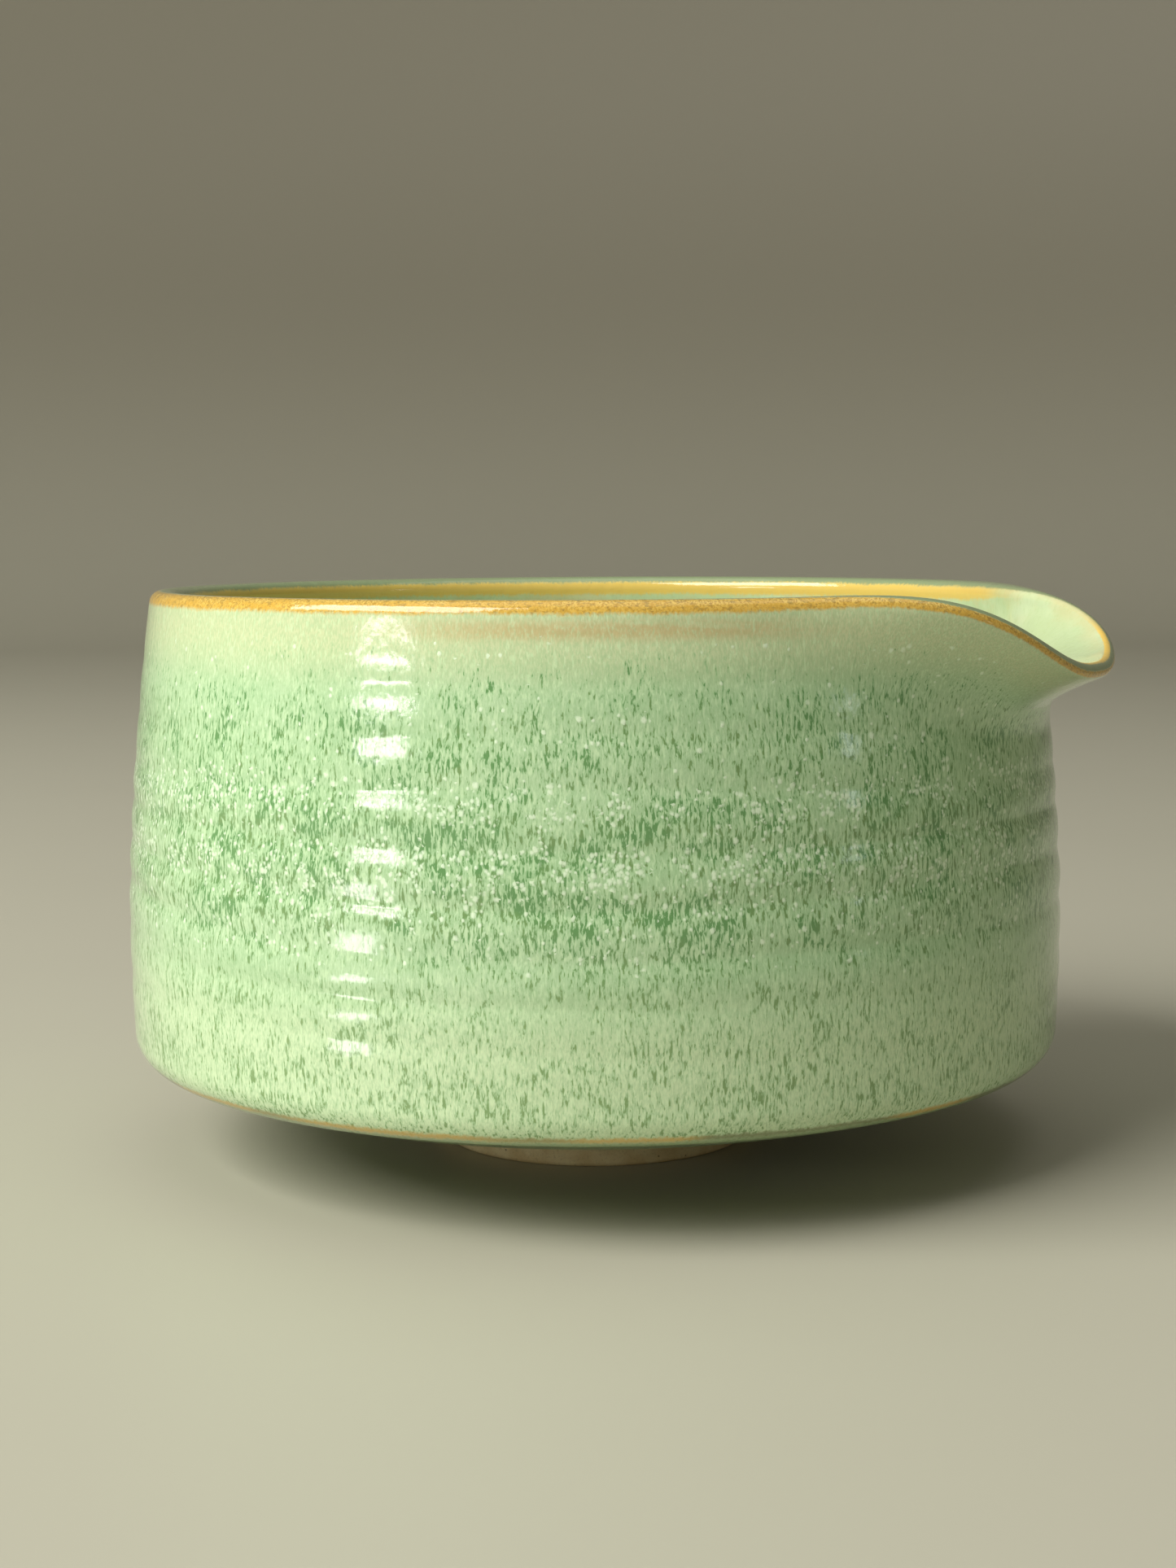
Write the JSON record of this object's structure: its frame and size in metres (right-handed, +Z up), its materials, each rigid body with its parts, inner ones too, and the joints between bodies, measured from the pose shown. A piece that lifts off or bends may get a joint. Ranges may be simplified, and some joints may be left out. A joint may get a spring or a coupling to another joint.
{
  "type": "pouring bowl",
  "caption": "Low, wide glazed stoneware bowl with a pulled pouring spout in its lip, standing on a small turned foot ring.",
  "frame": {"origin": "on the table, under the middle of the bowl's whole outline, spout included; the bowl's own turning axis stands 4.2 mm to the -X side of it", "axes": "+Z up out of the bowl's mouth, +X the way the spout points, +Y to the left of someone looking along +X"},
  "size_m": [0.1324, 0.125, 0.0748],
  "materials": {
    "clay_bowl": "matte fired clay",
    "pouring_spout": "matte fired clay",
    "foot_ring": "bare matte clay",
    "outer_glaze": "glossy mottled green glaze",
    "inner_glaze": "glossy pale green-cream glaze",
    "rim_glaze": "glossy amber glaze where it breaks thin over the lip"
  },
  "bodies": {
    "root": {"clay_bowl": "clay_bowl", "pouring_spout": "pouring_spout", "foot_ring": "foot_ring", "outer_glaze": "outer_glaze", "inner_glaze": "inner_glaze", "rim_glaze": "rim_glaze"}
  },
  "joints": []
}
